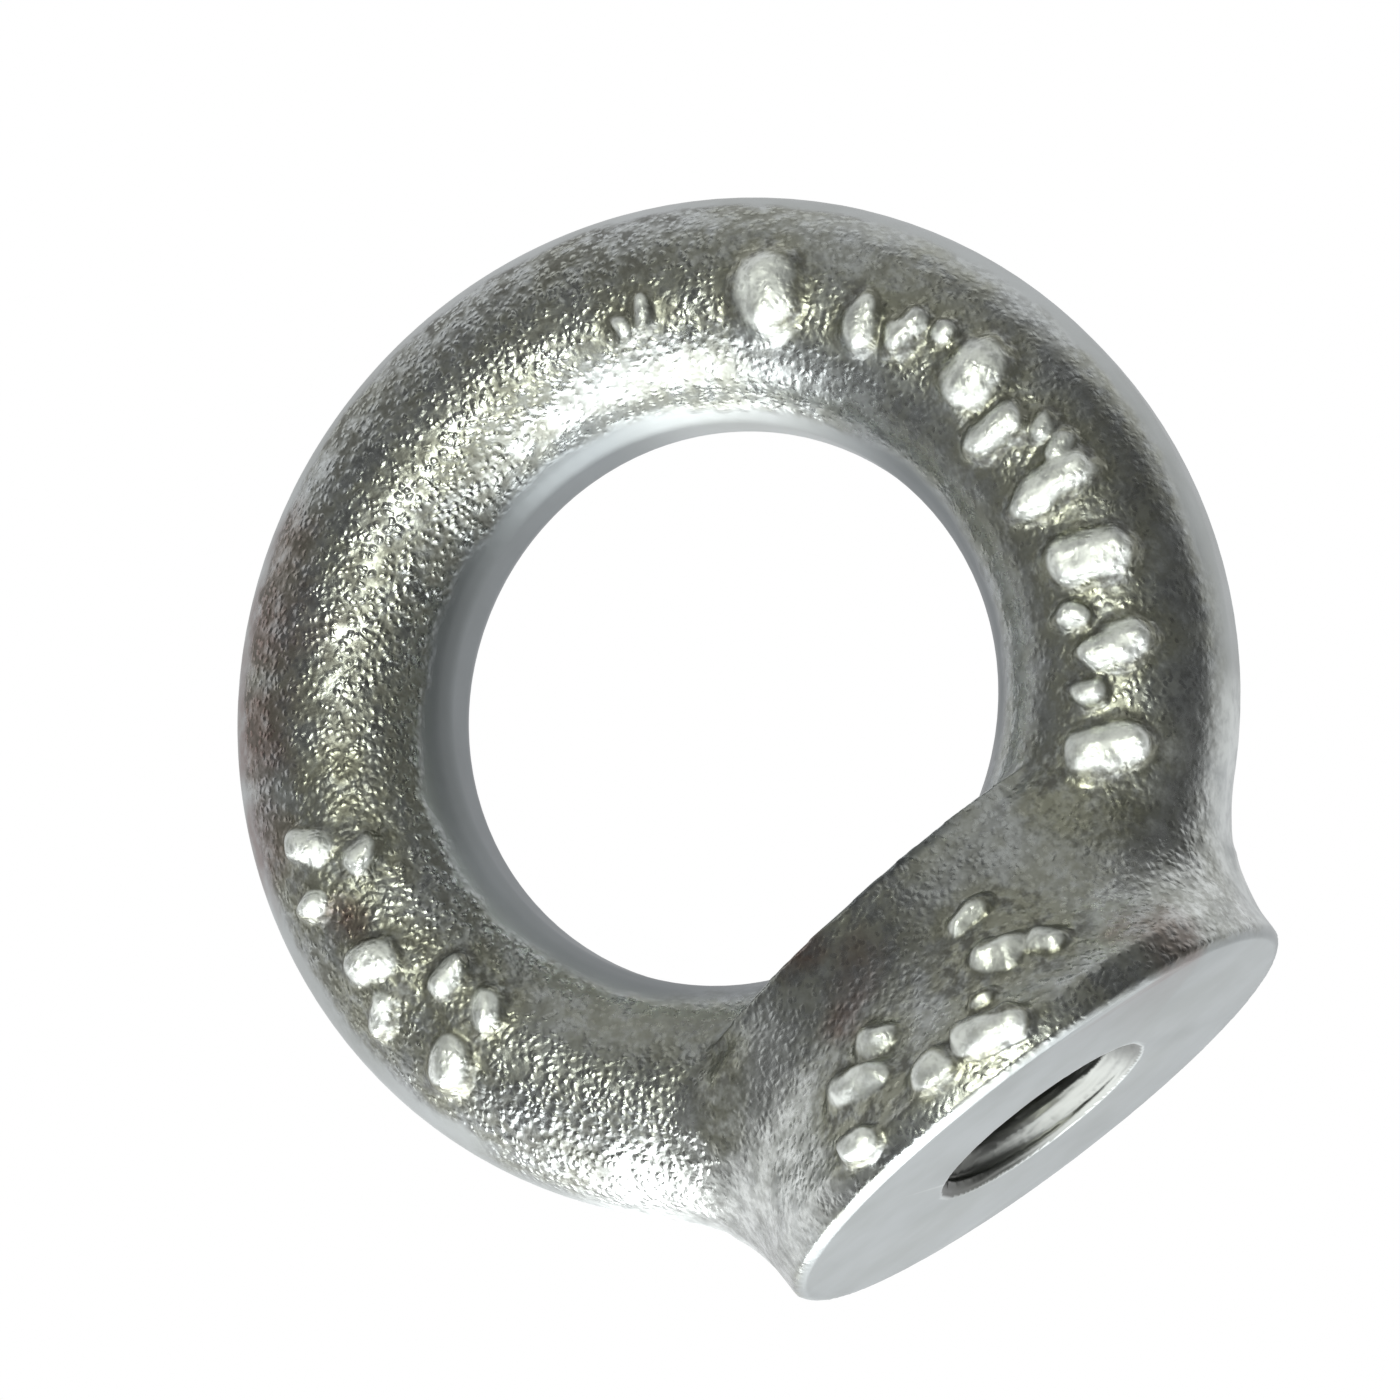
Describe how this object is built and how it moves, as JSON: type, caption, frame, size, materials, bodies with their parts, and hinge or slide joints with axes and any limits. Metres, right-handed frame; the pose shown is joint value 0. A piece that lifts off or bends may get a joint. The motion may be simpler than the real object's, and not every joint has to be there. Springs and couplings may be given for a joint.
{
  "type": "lifting eye nut",
  "caption": "Drop-forged lifting eye nut: a round ring on a flared collar with a tapped hole up its middle, zinc plated.",
  "frame": {"origin": "centre of the flat base face, on the thread axis", "axes": "+Z along the thread axis, from the base face up to the ring; the ring lies in the XZ plane; its marked side faces -Y"},
  "size_m": [0.036, 0.0204, 0.0364],
  "materials": {
    "zinc_plate": "bright zinc plate over forged steel"
  },
  "bodies": {
    "root": {"eye_nut": "zinc_plate"}
  },
  "joints": []
}
